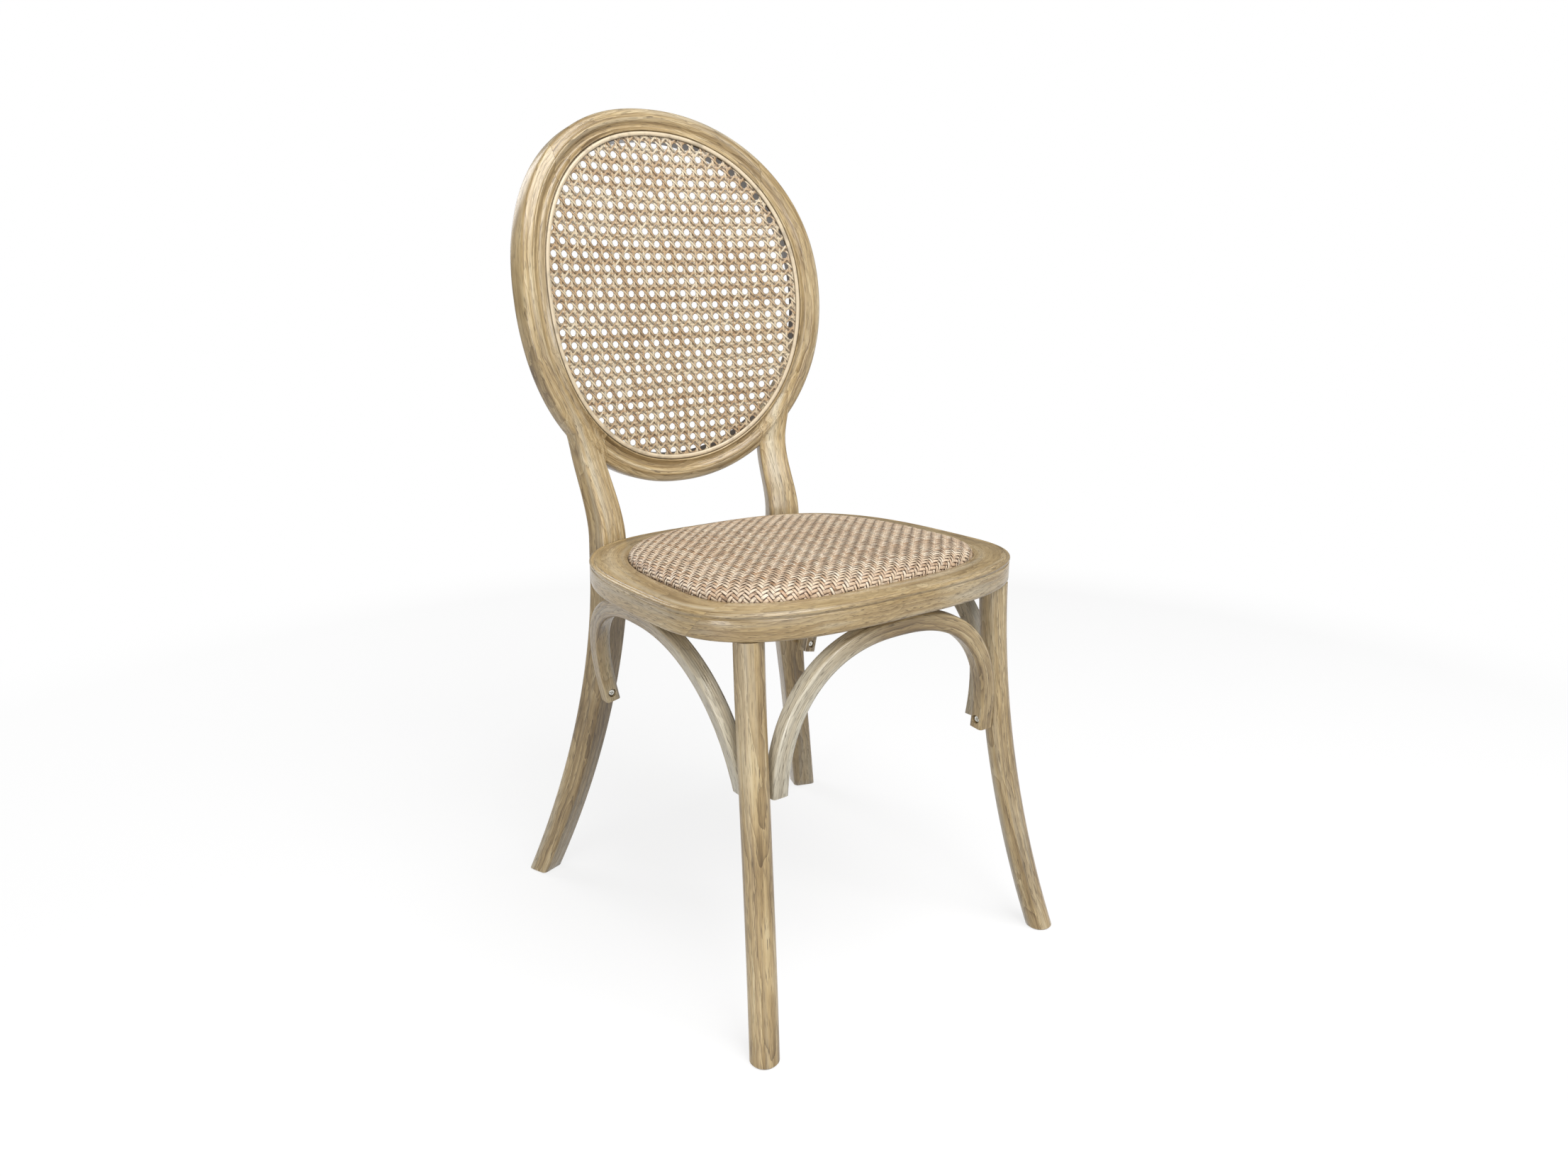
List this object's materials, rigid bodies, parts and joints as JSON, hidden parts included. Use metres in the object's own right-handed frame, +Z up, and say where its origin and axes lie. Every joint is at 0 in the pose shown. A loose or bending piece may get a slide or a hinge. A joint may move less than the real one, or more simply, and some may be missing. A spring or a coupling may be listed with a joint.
{
  "type": "rattan dining chair",
  "caption": "Bentwood dining chair with a moulded oval back filled with open cane, a low-crowned woven seat in a beaded ring, splayed legs and arched brackets under the seat.",
  "frame": {"origin": "on the floor, at the middle of the chair's footprint", "axes": "+Z up, the front of the chair faces -Y, +X is on the right as seen from in front"},
  "size_m": [0.4774, 0.5641, 0.9802],
  "materials": {
    "limed_oak": "limed and satin lacquered, open grain",
    "natural_cane": "natural woven strips, satin",
    "plywood": "bare",
    "zinc_steel": "bright zinc plated"
  },
  "bodies": {
    "root": {"back_bottom_rail": "limed_oak", "back_cane_panel": "natural_cane", "back_cane_reed": "natural_cane", "back_top_rail": "limed_oak", "bottom_dowel_left": "limed_oak", "bottom_dowel_right": "limed_oak", "bracket_front": "limed_oak", "bracket_front_crown_screw": "zinc_steel", "bracket_front_end_screw_1": "zinc_steel", "bracket_front_end_screw_2": "zinc_steel", "bracket_left": "limed_oak", "bracket_left_crown_screw": "zinc_steel", "bracket_left_end_screw_1": "zinc_steel", "bracket_left_end_screw_2": "zinc_steel", "bracket_right": "limed_oak", "bracket_right_crown_screw": "zinc_steel", "bracket_right_end_screw_1": "zinc_steel", "bracket_right_end_screw_2": "zinc_steel", "corner_block_front_left": "limed_oak", "corner_block_front_right": "limed_oak", "corner_block_rear_left": "limed_oak", "corner_block_rear_right": "limed_oak", "front_leg_left": "limed_oak", "front_leg_right": "limed_oak", "rear_leg_bolt_left": "zinc_steel", "rear_leg_bolt_right": "zinc_steel", "rear_leg_left": "limed_oak", "rear_leg_right": "limed_oak", "seat_board": "plywood", "seat_front_rail": "limed_oak", "seat_left_rail": "limed_oak", "seat_rear_rail": "limed_oak", "seat_right_rail": "limed_oak", "seat_screw_front_left": "zinc_steel", "seat_screw_front_right": "zinc_steel", "seat_screw_rear_left": "zinc_steel", "seat_screw_rear_right": "zinc_steel", "seat_woven_panel": "natural_cane", "top_dowel_left": "limed_oak", "top_dowel_right": "limed_oak"}
  },
  "joints": []
}
